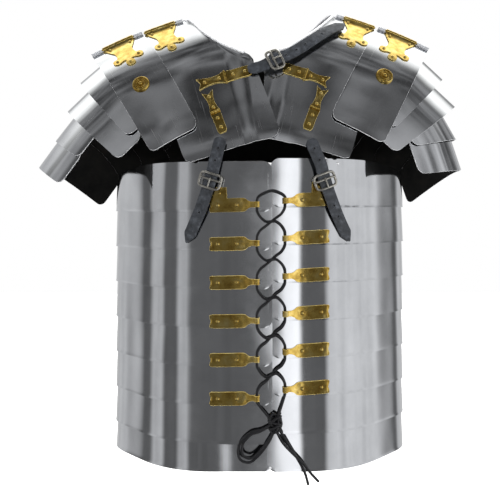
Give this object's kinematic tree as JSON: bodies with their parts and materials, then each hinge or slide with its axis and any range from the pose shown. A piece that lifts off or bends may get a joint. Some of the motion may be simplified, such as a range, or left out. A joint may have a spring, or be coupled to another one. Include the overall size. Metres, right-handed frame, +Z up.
{
  "type": "lorica segmentata",
  "caption": "Roman segmented plate armour: steel girdle hoops, hinged shoulder guards and collar plates with brass fittings, leather straps and a laced front, hollow as when worn.",
  "frame": {"origin": "in the middle between the shoulders, at the height where the collar plates bear on the wearer's shoulders", "axes": "+Z up, front towards -Y, +X to the right as looked at from the front (the wearer's left)"},
  "size_m": [0.5535, 0.3111, 0.5714],
  "materials": {
    "polished_steel": "polished mild steel plate, faint brushing and wear scratches",
    "polished_brass": "polished sheet brass",
    "strap_leather": "dark blue-grey dyed harness leather, semi-matt",
    "leather_cord": "black round leather cord"
  },
  "bodies": {
    "root": {"hoop_left_1": "polished_steel", "hoop_left_2": "polished_steel", "hoop_left_3": "polished_steel", "hoop_left_4": "polished_steel", "hoop_left_5": "polished_steel", "hoop_left_6": "polished_steel", "hoop_left_7": "polished_steel", "hoop_left_8": "polished_steel", "breastplate_left": "polished_steel", "rear_collar_left": "polished_steel", "upper_guard_left_front": "polished_steel", "upper_guard_left_back": "polished_steel", "guard_left_2": "polished_steel", "guard_left_3": "polished_steel", "guard_left_4": "polished_steel", "guard_left_5": "polished_steel", "hinge_left_inner": "polished_brass", "hinge_left_outer": "polished_brass", "rosette_left": "polished_brass", "tie_loop_left_1": "polished_brass", "tie_loop_left_2": "polished_brass", "tie_loop_left_3": "polished_brass", "tie_loop_left_4": "polished_brass", "tie_loop_left_5": "polished_brass", "tie_loop_left_6": "polished_brass", "strap_left": "strap_leather", "strap_back_left": "strap_leather", "fitting_left_upper": "polished_brass", "fitting_left_lower": "polished_brass", "hoop_right_1": "polished_steel", "hoop_right_2": "polished_steel", "hoop_right_3": "polished_steel", "hoop_right_4": "polished_steel", "hoop_right_5": "polished_steel", "hoop_right_6": "polished_steel", "hoop_right_7": "polished_steel", "hoop_right_8": "polished_steel", "breastplate_right": "polished_steel", "rear_collar_right": "polished_steel", "upper_guard_right_front": "polished_steel", "upper_guard_right_back": "polished_steel", "guard_right_2": "polished_steel", "guard_right_3": "polished_steel", "guard_right_4": "polished_steel", "guard_right_5": "polished_steel", "hinge_right_inner": "polished_brass", "hinge_right_outer": "polished_brass", "rosette_right": "polished_brass", "tie_loop_right_1": "polished_brass", "tie_loop_right_2": "polished_brass", "tie_loop_right_3": "polished_brass", "tie_loop_right_4": "polished_brass", "tie_loop_right_5": "polished_brass", "tie_loop_right_6": "polished_brass", "strap_right": "strap_leather", "strap_back_right": "strap_leather", "fitting_right_upper": "polished_brass", "fitting_right_lower": "polished_brass", "strap_breast": "strap_leather", "lace": "leather_cord"}
  },
  "joints": []
}
